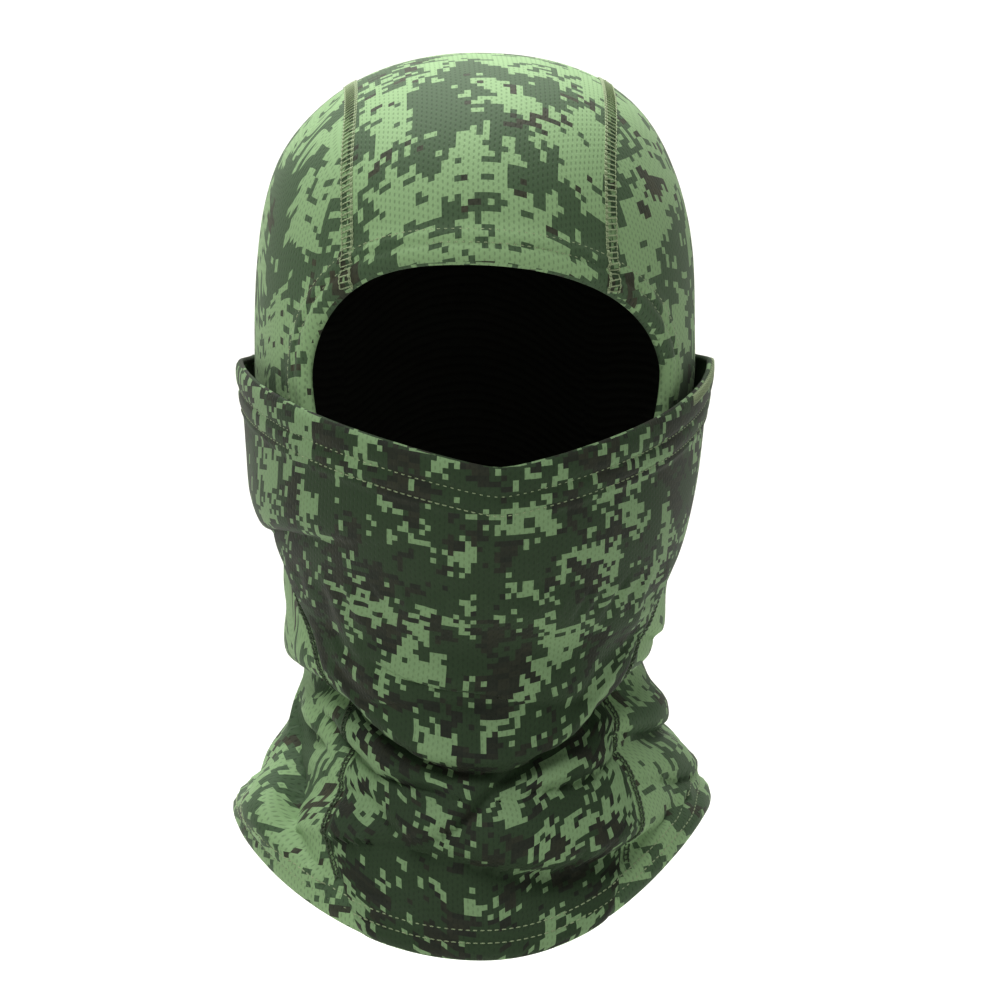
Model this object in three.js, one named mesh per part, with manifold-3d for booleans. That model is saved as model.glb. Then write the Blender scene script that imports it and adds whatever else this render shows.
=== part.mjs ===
// A pull-on camouflage face mask (balaclava) as it is worn: a three-panel hood with a hemmed face opening,
// a doubled neck front, and an outer mask panel that crosses the nose and pulls down under the chin.
// Millimetres, +Z up. The origin is on the ear line, midway between the ears. The face looks along -Y.
import * as THREE from "three";
import { mergeVertices } from "three/addons/utils/BufferGeometryUtils.js";
import Module from "manifold-3d";

const wasm = await Module();
wasm.setup();

// ---- Head: the hood's outer surface -----------------------------------------------------------------
const CROWN_HEIGHT = 113; // crown above the ear line
const DOME_BASE = 18; // level where the dome starts to close
const TEMPLE_HALF_WIDTH = 80;
const EAR_SPREAD = 2; // how far the ears push the hood out past the temples
const FOREHEAD_REACH = 95; // from the ear line to the brow
const OCCIPUT_REACH = 101;
const DOME_POWER = 3.3; // fullness of the dome up its height
const DOME_ROUNDNESS = 2.5; // and across it

// ---- Jaw, neck and skirt ----------------------------------------------------------------------------
const CHEEK_LEVEL = -45;
const CHEEK_HALF_WIDTH = 78.5;
const CHEEK_REACH = 103;
const JAW_LEVEL = -68;
const JAW_HALF_WIDTH = 73;
const CHIN_REACH = 98;
const NAPE_REACH = 80;
const NECK_LEVEL = -116;
const NECK_HALF_WIDTH = 65.5;
const NECK_FRONT = 74;
const NECK_BACK = 69;
const SKIRT_LEVEL = -160;
const SKIRT_HALF_WIDTH = 87;
const SKIRT_FRONT = 88;
const SKIRT_BACK = 86;
const SIDE_DROP = 166; // the bottom edge below the ear line, at the shoulders
const FRONT_DROP = 206; // and at the breast
const BACK_DROP = 192; // and at the back
const BIB_FRONT = 98;
const BIB_BACK = 92;
const DROP_POWER = 1.6; // how late the bottom edge dips towards the breast

// ---- Cloth and hems ---------------------------------------------------------------------------------
const CLOTH = 1; // one layer of knitted cloth
const FOLD = 2; // a hem, folded double
const LAYER_GAP = 0.5; // air between two layers that lie on each other
const EDGE_GAP = 0.3; // between two panels that a seam joins
const FACE_HEM = 12;
const FACE_STITCH_ROWS = [7, 11.4]; // from the opening's edge
const MASK_HEM = 19;
const MASK_STITCH_ROWS = [10, 17];
const BOTTOM_HEM = 13;
const BOTTOM_STITCH_ROWS = [6, 10.5];
const THREAD_WIDTH = 0.9;
const THREAD_HEIGHT = 0.5;
const FLATLOCK_WIDTH = 4.5;
const FLATLOCK_HEIGHT = 0.7;
const SEAM_CLEAR = 2; // from a flatlock's end to the hem that it runs into
const STITCH_CLEAR = 4; // from the face hem's stitches to the bib that covers them below

// ---- Cut lines --------------------------------------------------------------------------------------
const CROWN_PANEL_HALF_WIDTH = 47;
const OPENING_TOP = 43; // of the face opening, above the ear line
const OPENING_BOTTOM = 75; // below it
const OPENING_HALF_ARC = 81; // from the middle of the face to the side, along the cloth
const FACE_RADIUS = 88; // mean radius of the face, which turns an arc into an angle
const BIB_SEAM_TOP_DEG = 70; // the bib's side seam at the jaw, from the middle of the front
const BIB_SEAM_LOW_DEG = 32; // and at the bottom edge
const BIB_SEAM_POWER = 1.6;

// ---- Mask: the outer panel that moves ---------------------------------------------------------------
const MASK_JAW_GAP = LAYER_GAP + CLOTH + LAYER_GAP; // inside of the mask from the hood, at the jaw
const MASK_EAR_GAP = 3; // and at the ear
const NOSE_REACH = 110; // inside of the mask at the nose
const NOSE_DROP = 28; // its top edge below the ear line, at the nose
const NOSE_POWER = 1.4; // how sharply the top edge turns down from ear to nose
const MASK_BACK_DEG = 97; // where the mask ends behind the ear
const MASK_JAW_DEG = 84; // and at the jaw
const MASK_TRAVEL = 60; // how far the mask pulls down
const MASK_STITCH_INSET_DEG = 2; // from the mask's rear edge to the ends of its stitches
const SIDE_SEAM_DEG = 3; // from the mask's rear edge back to the seam that holds it

// ---- Fineness ---------------------------------------------------------------------------------------
const RING_STEPS = 60;
const NECK_ROWS = 14;
const HEAD_ROWS = 7;
const DOME_ROWS = 10;
const OUTLINE_STEPS = 60;
const SEAM_STEPS = 16;
const CROWN_SEAM_STEPS = 90;
const CUTTER_RINGS = 10;
const CUTTER_DEPTH = 3; // how far a cutter goes through the cloth

const DEG = Math.PI / 180;
const mix = (a, b, t) => a + (b - a) * t;

// ---- The surface ------------------------------------------------------------------------------------
const EAR_HALF_WIDTH = TEMPLE_HALF_WIDTH + EAR_SPREAD;
const EAR_FRONT = mix(CHEEK_REACH, FOREHEAD_REACH, 0.6);
const CHEEK_BACK = mix(NAPE_REACH, OCCIPUT_REACH, 0.5);

// Reaches of the hood's outer surface at set levels, from the skirt up to the dome's base.
const STATIONS = [
  { z: -FRONT_DROP, half: SKIRT_HALF_WIDTH + 1, front: BIB_FRONT, back: BIB_BACK },
  { z: SKIRT_LEVEL, half: SKIRT_HALF_WIDTH, front: SKIRT_FRONT, back: SKIRT_BACK },
  { z: NECK_LEVEL, half: NECK_HALF_WIDTH, front: NECK_FRONT, back: NECK_BACK },
  { z: JAW_LEVEL, half: JAW_HALF_WIDTH, front: CHIN_REACH, back: NAPE_REACH },
  { z: CHEEK_LEVEL, half: CHEEK_HALF_WIDTH, front: CHEEK_REACH, back: CHEEK_BACK },
  { z: 0, half: EAR_HALF_WIDTH, front: EAR_FRONT, back: OCCIPUT_REACH - 1 },
  { z: DOME_BASE, half: TEMPLE_HALF_WIDTH, front: FOREHEAD_REACH, back: OCCIPUT_REACH },
];

// A smooth line through the stations that never overshoots one.
function alongStations(z, key) {
  const last = STATIONS.length - 1;
  let i = STATIONS.findIndex((s) => z < s.z) - 1;
  if (i < 0) i = z < STATIONS[0].z ? 0 : last - 1;
  const slope = (k) => (STATIONS[k + 1][key] - STATIONS[k][key]) / (STATIONS[k + 1].z - STATIONS[k].z);
  const tangent = (k) => {
    if (k === 0 || k === last) return 0;
    const [a, b] = [slope(k - 1), slope(k)];
    return a * b <= 0 ? 0 : (2 * a * b) / (a + b);
  };
  const [lower, upper] = [STATIONS[i], STATIONS[i + 1]];
  const span = upper.z - lower.z;
  const t = Math.min(1, Math.max(0, (z - lower.z) / span));
  const rise = t * t * (3 - 2 * t);
  const start = t * (1 - t) * (1 - t) * span * tangent(i);
  const end = t * t * (t - 1) * span * tangent(i + 1);
  return mix(lower[key], upper[key], rise) + start + end;
}

// Half width, front reach and back reach of the hood's outer surface at level z.
function hoodReach(z) {
  if (z <= DOME_BASE) {
    return ["half", "front", "back"].map((key) => alongStations(z, key));
  }
  const up = Math.min(1, (z - DOME_BASE) / (CROWN_HEIGHT - DOME_BASE));
  const share = (1 - up ** DOME_POWER) ** (1 / DOME_ROUNDNESS);
  return [TEMPLE_HALF_WIDTH, FOREHEAD_REACH, OCCIPUT_REACH].map((reach) => reach * share);
}

// How far each reach grows past its size at the jaw, over the levels that the mask's lower edge comes down.
const TRAVEL_STEPS = 12;
const [sideGrowth, frontGrowth] = hoodReach(JAW_LEVEL).map((atJaw, key) => {
  let most = 0;
  for (let i = 1; i <= TRAVEL_STEPS; i++) {
    most = Math.max(most, hoodReach(JAW_LEVEL - (MASK_TRAVEL * i) / TRAVEL_STEPS)[key] - atJaw);
  }
  return most;
});

// The reaches of the mask's inside face.
function maskReach(z) {
  const [half, front, back] = hoodReach(z);
  const up = Math.max(0, (z - JAW_LEVEL) / -JAW_LEVEL);
  const noseUp = Math.min(1, Math.max(0, (z - JAW_LEVEL) / (-NOSE_DROP - JAW_LEVEL)));
  const lift = mix(MASK_JAW_GAP + sideGrowth, MASK_EAR_GAP, up);
  const noseLift = mix(MASK_JAW_GAP + frontGrowth, NOSE_REACH - hoodReach(-NOSE_DROP)[1], noseUp);
  return [half + lift, front + noseLift, back + lift];
}

// A point of a surface: angle 0 is the middle of the front, 90 degrees the wearer's left.
function pointOn(reach, angle, z) {
  const [half, front, back] = reach(z);
  const ahead = Math.cos(angle);
  return new THREE.Vector3(half * Math.sin(angle), ahead > 0 ? -front * ahead : -back * ahead, z);
}

// The direction straight out of a surface.
function outOf(reach, angle, z) {
  const turn = 0.01;
  const rise = 0.05;
  const around = pointOn(reach, angle + turn, z).sub(pointOn(reach, angle - turn, z));
  const upwards = pointOn(reach, angle, z + rise).sub(pointOn(reach, angle, z - rise));
  return around.cross(upwards).normalize();
}

// A point that stands off a surface by offset.
function onSurface(reach, angle, z, offset) {
  return pointOn(reach, angle, z).addScaledVector(outOf(reach, angle, z), offset);
}

// Level of the bottom edge at an angle.
function bottomEdge(angle) {
  const ahead = Math.cos(angle);
  const dip = (ahead > 0 ? FRONT_DROP : BACK_DROP) - SIDE_DROP;
  return -SIDE_DROP - dip * Math.abs(ahead) ** DROP_POWER;
}

// Level of the mask's top edge at an angle.
function maskTop(angle) {
  const aside = Math.min(1, Math.abs(Math.sin(angle)));
  return -NOSE_DROP * (1 - aside ** NOSE_POWER);
}

// Angle of the mask's rear edge at level z.
function maskRear(z) {
  return mix(MASK_JAW_DEG, MASK_BACK_DEG, Math.min(1, (z - JAW_LEVEL) / -JAW_LEVEL)) * DEG;
}

// The bib's side seam, from the bottom edge (0) to the jaw (1), as an angle and a level.
function bibSeam(up, topLevel, gap) {
  const angle = mix(BIB_SEAM_LOW_DEG, BIB_SEAM_TOP_DEG, up ** BIB_SEAM_POWER) * DEG;
  return { angle, z: mix(bottomEdge(angle) + BOTTOM_HEM + gap, topLevel, up) };
}

// A point of the face opening's outline, grown outwards along the cloth by distance.
function openingPoint(turn, distance) {
  const height = Math.sin(turn) > 0 ? OPENING_TOP : OPENING_BOTTOM;
  const arc = OPENING_HALF_ARC * Math.cos(turn);
  const z = height * Math.sin(turn);
  const out = new THREE.Vector2(height * Math.cos(turn), OPENING_HALF_ARC * Math.sin(turn)).normalize();
  return { angle: (arc + out.x * distance) / FACE_RADIUS, z: z + out.y * distance };
}

// ---- Building solids --------------------------------------------------------------------------------
function geometryOf(points, triangles) {
  const geometry = new THREE.BufferGeometry().setFromPoints(points);
  geometry.setIndex(triangles.flat());
  return geometry;
}

// A strip of cloth as a closed solid. place(u, v, w) gives a point: u along, v across, w from inside out.
function strip(steps, rows, closed, place) {
  const points = [];
  const triangles = [];
  const columns = closed ? steps : steps + 1;
  const at = (i, j, k) => ((i % columns) * (rows + 1) + j) * 2 + k;
  for (let i = 0; i < columns; i++) {
    for (let j = 0; j <= rows; j++) {
      for (const w of [0, 1]) points.push(place(i / steps, j / rows, w));
    }
  }
  const quad = (a, b, c, d) => triangles.push([a, b, c], [a, c, d]);
  for (let i = 0; i < steps; i++) {
    for (let j = 0; j < rows; j++) {
      quad(at(i, j, 1), at(i + 1, j, 1), at(i + 1, j + 1, 1), at(i, j + 1, 1));
      quad(at(i, j, 0), at(i, j + 1, 0), at(i + 1, j + 1, 0), at(i + 1, j, 0));
    }
    quad(at(i, 0, 0), at(i + 1, 0, 0), at(i + 1, 0, 1), at(i, 0, 1));
    quad(at(i, rows, 1), at(i + 1, rows, 1), at(i + 1, rows, 0), at(i, rows, 0));
  }
  if (!closed) {
    for (let j = 0; j < rows; j++) {
      quad(at(0, j, 0), at(0, j, 1), at(0, j + 1, 1), at(0, j + 1, 0));
      quad(at(steps, j, 1), at(steps, j, 0), at(steps, j + 1, 0), at(steps, j + 1, 1));
    }
  }
  return geometryOf(points, triangles);
}

// A narrow strip of stitching that follows a line drawn on a surface and stands on it.
function stitching(surface, line, steps, closed, width, height, lowest) {
  const at = (u) => line(closed ? (u + 1) % 1 : Math.min(1, Math.max(0, u)));
  const centreAt = (u) => pointOn(surface, at(u).angle, at(u).z);
  const nudge = 0.002;
  return strip(steps, 1, closed, (u, v, w) => {
    const { angle, z } = at(u);
    const out = outOf(surface, angle, z);
    const along = centreAt(u + nudge).sub(centreAt(u - nudge)).normalize();
    const across = new THREE.Vector3().crossVectors(out, along).normalize();
    const centre = onSurface(surface, angle, z, lowest + w * height);
    return centre.addScaledVector(across, (v - 0.5) * width);
  });
}

const stitchRow = (surface, line, steps, closed, seat) =>
  stitching(surface, line, steps, closed, THREAD_WIDTH, THREAD_HEIGHT, seat);

const flatlock = (line, steps, seat) =>
  stitching(hoodReach, line, steps, false, FLATLOCK_WIDTH, FLATLOCK_HEIGHT, seat);

function solidOf(geometry) {
  const merged = mergeVertices(geometry, 1e-4);
  const vertProperties = merged.attributes.position.array;
  const triVerts = new Uint32Array(merged.index.array);
  return new wasm.Manifold(new wasm.Mesh({ numProp: 3, vertProperties, triVerts }));
}

function geometryFrom(solid) {
  const { vertProperties, triVerts } = solid.getMesh();
  return new THREE.BufferGeometry()
    .setAttribute("position", new THREE.BufferAttribute(vertProperties, 3))
    .setIndex(new THREE.BufferAttribute(triVerts, 1));
}

// Everything inside the hood's surface, grown by offset, down to a bottom edge raised by lift.
function headForm(offset, lift) {
  const levels = [];
  for (let i = 0; i < NECK_ROWS; i++) {
    levels.push((angle) => mix(bottomEdge(angle) + lift, JAW_LEVEL, i / NECK_ROWS));
  }
  for (let i = 0; i < HEAD_ROWS; i++) {
    levels.push(() => mix(JAW_LEVEL, DOME_BASE, i / HEAD_ROWS));
  }
  for (let i = 0; i < DOME_ROWS; i++) {
    levels.push(() => mix(DOME_BASE, CROWN_HEIGHT, Math.sin((i / DOME_ROWS) * 90 * DEG)));
  }
  const points = [];
  for (const level of levels) {
    for (let k = 0; k < RING_STEPS; k++) {
      const angle = (k / RING_STEPS) * 360 * DEG;
      points.push(onSurface(hoodReach, angle, level(angle), offset));
    }
  }
  const foot = points.push(new THREE.Vector3(0, 0, -SIDE_DROP + lift)) - 1;
  const top = points.push(new THREE.Vector3(0, 0, CROWN_HEIGHT + offset)) - 1;
  const triangles = [];
  const at = (row, k) => row * RING_STEPS + (k % RING_STEPS);
  const last = levels.length - 1;
  for (let k = 0; k < RING_STEPS; k++) {
    for (let row = 0; row < last; row++) {
      triangles.push([at(row, k), at(row, k + 1), at(row + 1, k + 1)]);
      triangles.push([at(row, k), at(row + 1, k + 1), at(row + 1, k)]);
    }
    triangles.push([foot, at(0, k + 1), at(0, k)], [top, at(last, k), at(last, k + 1)]);
  }
  return solidOf(geometryOf(points, triangles));
}

// A cutter that goes straight through the hood's front inside an outline of angles and levels.
function frontCutter(outline) {
  const count = outline.length;
  const middle = outline.reduce((sum, p) => sum + p.z, 0) / count;
  const points = [];
  const ring = (depth, share) => {
    for (const { angle, z } of outline) {
      points.push(onSurface(hoodReach, angle * share, mix(middle, z, share), depth));
    }
  };
  const shares = [];
  for (let i = 1; i <= CUTTER_RINGS; i++) shares.push(i / CUTTER_RINGS);
  shares.forEach((share) => ring(CUTTER_DEPTH, share));
  shares.reverse().forEach((share) => ring(-CUTTER_DEPTH, share));
  const outer = points.push(onSurface(hoodReach, 0, middle, CUTTER_DEPTH)) - 1;
  const inner = points.push(onSurface(hoodReach, 0, middle, -CUTTER_DEPTH)) - 1;
  const triangles = [];
  const rings = 2 * CUTTER_RINGS;
  for (let k = 0; k < count; k++) {
    const next = (k + 1) % count;
    for (let row = 0; row < rings - 1; row++) {
      const [here, there] = [row * count, (row + 1) * count];
      triangles.push([here + k, there + k, there + next], [here + k, there + next, here + next]);
    }
    const lastRing = (rings - 1) * count;
    triangles.push([outer, k, next], [inner, lastRing + next, lastRing + k]);
  }
  return solidOf(geometryOf(points, triangles));
}

function box(low, high) {
  const [from, to] = [new THREE.Vector3(...low), new THREE.Vector3(...high)];
  const size = to.clone().sub(from);
  const centre = from.add(to).multiplyScalar(0.5);
  const geometry = new THREE.BoxGeometry(...size).translate(...centre);
  geometry.deleteAttribute("normal");
  geometry.deleteAttribute("uv");
  return solidOf(geometry);
}

// ---- Finishes ---------------------------------------------------------------------------------------
const cloth = (colour) => new THREE.MeshStandardMaterial({ color: colour, roughness: 0.9, metalness: 0 });
const HOOD_CLOTH = cloth(0x6f9763);
const MASK_CLOTH = cloth(0x4f7549);
const LINING_CLOTH = cloth(0x14150f);
const THREAD = cloth(0x7f8f68);

const mask = new THREE.Group();

function add(name, geometry, material) {
  const mesh = new THREE.Mesh(geometry, material);
  mesh.name = name;
  mask.add(mesh);
}

// ---- Hood panels: cut from one shell ----------------------------------------------------------------
const FAR = 400;
const PANEL_LIFT = BOTTOM_HEM + EDGE_GAP;

const shell = headForm(0, PANEL_LIFT).subtract(headForm(-CLOTH, PANEL_LIFT - CUTTER_DEPTH));

const hemOutline = [];
for (let i = 0; i < OUTLINE_STEPS; i++) {
  hemOutline.push(openingPoint((i / OUTLINE_STEPS) * 360 * DEG, FACE_HEM + EDGE_GAP));
}
const openingCutter = frontCutter(hemOutline);

// The outline of the neck front: up the left bib seam, under the jaw, and down the right bib seam.
const leftSide = [{ angle: BIB_SEAM_LOW_DEG * DEG, z: -FRONT_DROP }];
for (let i = 0; i <= SEAM_STEPS; i++) leftSide.push(bibSeam(i / SEAM_STEPS, JAW_LEVEL, EDGE_GAP));
const rightSide = leftSide.map(({ angle, z }) => ({ angle: -angle, z })).reverse();
const acrossAt = (corner, z) => {
  const points = [];
  for (let i = 1; i < SEAM_STEPS; i++) points.push({ angle: corner.angle * (1 - (2 * i) / SEAM_STEPS), z });
  return points;
};
const neckFrontOutline = [
  ...leftSide,
  ...acrossAt(leftSide.at(-1), JAW_LEVEL),
  ...rightSide,
  ...acrossAt(rightSide.at(-1), -FRONT_DROP),
];

// An outline grown along the cloth by distance, with mitred corners. It runs anticlockwise from the front.
function grown(outline, distance) {
  const count = outline.length;
  const outFrom = (a, b) => new THREE.Vector2(b.z - a.z, (a.angle - b.angle) * FACE_RADIUS).normalize();
  return outline.map((point, i) => {
    const before = outFrom(outline[(i + count - 1) % count], point);
    const after = outFrom(point, outline[(i + 1) % count]);
    const out = before.clone().add(after).multiplyScalar(distance / (1 + before.dot(after)));
    return { angle: point.angle + out.x / FACE_RADIUS, z: point.z + out.y };
  });
}

const crownZone = (halfWidth) => {
  const slab = box([-halfWidth, -FAR, -FAR], [halfWidth, FAR, FAR]);
  const behindFace = box([-FAR, 0, -FAR], [FAR, FAR, FAR]).add(box([-FAR, -FAR, 0], [FAR, FAR, FAR]));
  return slab.intersect(behindFace);
};
const crown = shell.intersect(crownZone(CROWN_PANEL_HALF_WIDTH - EDGE_GAP / 2)).subtract(openingCutter);
const chin = shell.intersect(frontCutter(grown(neckFrontOutline, -EDGE_GAP / 2))).subtract(openingCutter);
const sides = shell
  .subtract(crownZone(CROWN_PANEL_HALF_WIDTH + EDGE_GAP / 2))
  .subtract(openingCutter)
  .subtract(frontCutter(grown(neckFrontOutline, EDGE_GAP / 2)));

add("crown_panel", geometryFrom(crown), HOOD_CLOTH);
add("side_panel_left", geometryFrom(sides.intersect(box([0, -FAR, -FAR], [FAR, FAR, FAR]))), HOOD_CLOTH);
add("side_panel_right", geometryFrom(sides.intersect(box([-FAR, -FAR, -FAR], [0, FAR, FAR]))), HOOD_CLOTH);
add("chin_panel", geometryFrom(chin), LINING_CLOTH);

// ---- Face opening: a hem folded inwards, and its two rows of stitches -------------------------------
const faceHem = strip(OUTLINE_STEPS, 2, true, (u, v, w) => {
  const { angle, z } = openingPoint(-u * 360 * DEG, v * FACE_HEM);
  return onSurface(hoodReach, angle, z, -FOLD * (1 - w));
});
add("face_hem", faceHem, HOOD_CLOTH);

// The stitches stop where the bib lies on the hem under the chin: they are sunk into the cloth there.
const STITCH_END = -Math.asin((-JAW_LEVEL - STITCH_CLEAR) / (OPENING_BOTTOM + FACE_HEM));
["inner", "outer"].forEach((row, i) => {
  const line = (u) => openingPoint(mix(180 * DEG - STITCH_END, STITCH_END, u), FACE_STITCH_ROWS[i]);
  add("face_hem_stitch_" + row, stitchRow(hoodReach, line, OUTLINE_STEPS, false, LAYER_GAP), THREAD);
});

// ---- Crown seams: flatlock bands from the face hem over the head to the bottom hem ------------------
const seamAngle = (z) => Math.asin(Math.min(1, CROWN_PANEL_HALF_WIDTH / hoodReach(z)[0]));
const overCrownPanel = ({ angle, z }) =>
  z > 0 && Math.abs(pointOn(hoodReach, angle, z).x) < CROWN_PANEL_HALF_WIDTH;
const hemCorner = Math.min(...hemOutline.filter(overCrownPanel).map(({ z }) => z));
const frontEnd = hemCorner + SEAM_CLEAR;
const rearEnd = bottomEdge(180 * DEG - seamAngle(-SIDE_DROP)) + BOTTOM_HEM + SEAM_CLEAR;
// The level where the dome is as wide as the crown panel, and the seam turns from front to back.
const seamShare = CROWN_PANEL_HALF_WIDTH / TEMPLE_HALF_WIDTH;
const seamPeak = mix(DOME_BASE, CROWN_HEIGHT, (1 - seamShare ** DOME_ROUNDNESS) ** (1 / DOME_POWER));
for (const [side, sign] of [["left", 1], ["right", -1]]) {
  const line = (u) => {
    const turn = mix(-1, 1, u);
    const z = mix(turn < 0 ? frontEnd : rearEnd, seamPeak, Math.cos(turn * 90 * DEG));
    return { angle: sign * (turn < 0 ? seamAngle(z) : 180 * DEG - seamAngle(z)), z };
  };
  add("crown_seam_" + side, flatlock(line, CROWN_SEAM_STEPS, LAYER_GAP), THREAD);
}

// ---- Bib: the lower, fixed part of the mask panel, over the neck front ------------------------------
const BIB_COLUMNS = 24;
const bib = strip(BIB_COLUMNS, NECK_ROWS, false, (u, v, w) => {
  const top = JAW_LEVEL - LAYER_GAP;
  const angle = mix(-1, 1, u) * bibSeam(v, top, EDGE_GAP).angle;
  const z = mix(bottomEdge(angle) + BOTTOM_HEM + EDGE_GAP, top, v);
  return onSurface(hoodReach, angle, z, LAYER_GAP + CLOTH * w);
});
add("bib_panel", bib, MASK_CLOTH);

const OVER_BIB = LAYER_GAP + CLOTH + LAYER_GAP;
const BIB_SEAM_END = 0.86; // the seam's flatlock stops this far up, where the mask folds over it
for (const [side, sign] of [["left", 1], ["right", -1]]) {
  const line = (u) => {
    const { angle, z } = bibSeam(u * BIB_SEAM_END, JAW_LEVEL, EDGE_GAP);
    return { angle: sign * angle, z };
  };
  add("bib_seam_" + side, flatlock(line, SEAM_STEPS, OVER_BIB), THREAD);
}

// ---- Bottom hem -------------------------------------------------------------------------------------
const bottomHem = strip(RING_STEPS, 2, true, (u, v, w) => {
  const angle = u * 360 * DEG;
  return onSurface(hoodReach, angle, bottomEdge(angle) + v * BOTTOM_HEM, mix(-CLOTH, LAYER_GAP + CLOTH, w));
});
add("bottom_hem", bottomHem, HOOD_CLOTH);

["lower", "upper"].forEach((row, i) => {
  const line = (u) => ({ angle: u * 360 * DEG, z: bottomEdge(u * 360 * DEG) + BOTTOM_STITCH_ROWS[i] });
  add("bottom_hem_stitch_" + row, stitchRow(hoodReach, line, RING_STEPS, true, OVER_BIB), THREAD);
});

// ---- Mask: the panel that pulls down, its hem and its stitches --------------------------------------
const MASK_COLUMNS = 44;
const MASK_ROWS = 5;
const maskAngle = (u, z) => mix(-1, 1, u) * maskRear(z);

const maskPanel = strip(MASK_COLUMNS, MASK_ROWS, false, (u, v, w) => {
  const angle = maskAngle(u, mix(JAW_LEVEL, -MASK_HEM, v));
  const z = mix(JAW_LEVEL, maskTop(angle) - MASK_HEM - EDGE_GAP, v);
  return onSurface(maskReach, angle, z, FOLD - CLOTH + CLOTH * w);
});
add("mask_panel", maskPanel, MASK_CLOTH);

const maskHem = strip(MASK_COLUMNS, 2, false, (u, v, w) => {
  const angle = maskAngle(u, mix(-MASK_HEM, 0, v));
  return onSurface(maskReach, angle, maskTop(angle) - MASK_HEM * (1 - v), FOLD * w);
});
add("mask_hem", maskHem, MASK_CLOTH);

["upper", "lower"].forEach((row, i) => {
  const line = (u) => {
    const angle = mix(-1, 1, u) * (maskRear(-MASK_STITCH_ROWS[i]) - MASK_STITCH_INSET_DEG * DEG);
    return { angle, z: maskTop(angle) - MASK_STITCH_ROWS[i] };
  };
  add("mask_hem_stitch_" + row, stitchRow(maskReach, line, MASK_COLUMNS, false, FOLD + LAYER_GAP), THREAD);
});

// ---- Mask side seams: where the mask's rear edges are sewn to the side panels -----------------------
for (const [side, sign] of [["left", 1], ["right", -1]]) {
  const line = (u) => {
    const z = mix(JAW_LEVEL, -SEAM_CLEAR, u);
    return { angle: sign * (maskRear(z) + SIDE_SEAM_DEG * DEG), z };
  };
  add("mask_side_seam_" + side, flatlock(line, SEAM_STEPS, LAYER_GAP), THREAD);
}

export default mask;
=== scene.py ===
# A pull-on camouflage face mask as it is worn: a three-panel knitted hood with a hemmed face opening, and an
# outer front cloth that crosses the nose, pulls down under the chin and hangs as a bib. Brushed jersey, sewn.
import math
import bpy
import numpy as np
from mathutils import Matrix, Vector, noise


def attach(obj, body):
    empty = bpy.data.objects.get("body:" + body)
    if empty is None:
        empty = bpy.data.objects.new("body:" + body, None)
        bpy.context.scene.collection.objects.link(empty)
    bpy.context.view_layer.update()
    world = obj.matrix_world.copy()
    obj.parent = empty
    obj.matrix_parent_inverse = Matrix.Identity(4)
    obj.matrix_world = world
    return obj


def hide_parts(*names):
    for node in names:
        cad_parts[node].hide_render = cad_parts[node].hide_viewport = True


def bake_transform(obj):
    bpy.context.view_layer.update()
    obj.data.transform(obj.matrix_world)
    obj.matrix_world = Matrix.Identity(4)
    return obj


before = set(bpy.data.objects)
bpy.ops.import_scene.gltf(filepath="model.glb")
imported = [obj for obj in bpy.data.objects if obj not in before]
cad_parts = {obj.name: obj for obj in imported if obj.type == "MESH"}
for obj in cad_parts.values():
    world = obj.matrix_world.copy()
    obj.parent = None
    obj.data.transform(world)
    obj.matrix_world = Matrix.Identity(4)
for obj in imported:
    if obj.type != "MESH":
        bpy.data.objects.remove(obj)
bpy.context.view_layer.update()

# ---- Camera, light and floor ----------------------------------------------------------------------------
# A long lens at the face, a little above it and to the wearer's right. Two big soft lights stand over the brow
# and the crown, a weak one fills from the front, and one lights the paper sweep that is floor and background.
VIEW_TURN = math.radians(-2.4)
VIEW_RISE = math.radians(7)
VIEW_DISTANCE = 2.0
FACE_MIDDLE = Vector((0, 0, -0.045))
FRAMING = (0.0104, -0.0080)
FLOOR_LEVEL = -0.42
LENS = 193.8

view_out = Vector((math.sin(VIEW_TURN) * math.cos(VIEW_RISE), -math.cos(VIEW_TURN) * math.cos(VIEW_RISE),
                   math.sin(VIEW_RISE)))
view_right = Vector((math.cos(VIEW_TURN), math.sin(VIEW_TURN), 0))
view_up = view_out.cross(view_right)

camera_data = bpy.data.cameras.new("camera")
camera_data.lens = LENS
camera_data.sensor_width = 36
camera_data.clip_end = 50
camera = bpy.data.objects.new("camera", camera_data)
bpy.context.scene.collection.objects.link(camera)
camera.rotation_euler = view_out.to_track_quat("Z", "Y").to_euler()
camera.location = (FACE_MIDDLE + view_right * FRAMING[0] + view_up * FRAMING[1] + view_out * VIEW_DISTANCE)
bpy.context.scene.camera = camera
bpy.context.scene.view_settings.view_transform = "Standard"


def soft_light(name, place, aim, size, power, colour):
    data = bpy.data.lights.new(name, "AREA")
    data.shape = "SQUARE"
    data.size = size
    data.energy = power
    data.color = colour
    light = bpy.data.objects.new(name, data)
    light.location = place
    light.rotation_euler = (Vector(place) - Vector(aim)).to_track_quat("Z", "Y").to_euler()
    bpy.context.scene.collection.objects.link(light)


soft_light("brow_light", (-0.45, -0.75, 1.35), (0, 0, 0.05), 0.9, 17, (1, 0.99, 0.97))
soft_light("crown_light", (-0.2, 0.55, 1.3), (0, 0, 0.08), 0.9, 13, (1, 1, 0.99))
soft_light("front_fill", (0.5, -2.2, 0.25), (0, 0, -0.08), 1.2, 3.6, (1, 1, 0.98))
soft_light("paper_light", (0, 0.9, 1.9), (0, 2.4, -0.4), 1.6, 70, (1, 1, 0.99))

world = bpy.data.worlds.new("studio")
world.use_nodes = True
world.node_tree.nodes["Background"].inputs["Color"].default_value = (1, 1, 1, 1)
world.node_tree.nodes["Background"].inputs["Strength"].default_value = 0.16
bpy.context.scene.world = world


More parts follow.
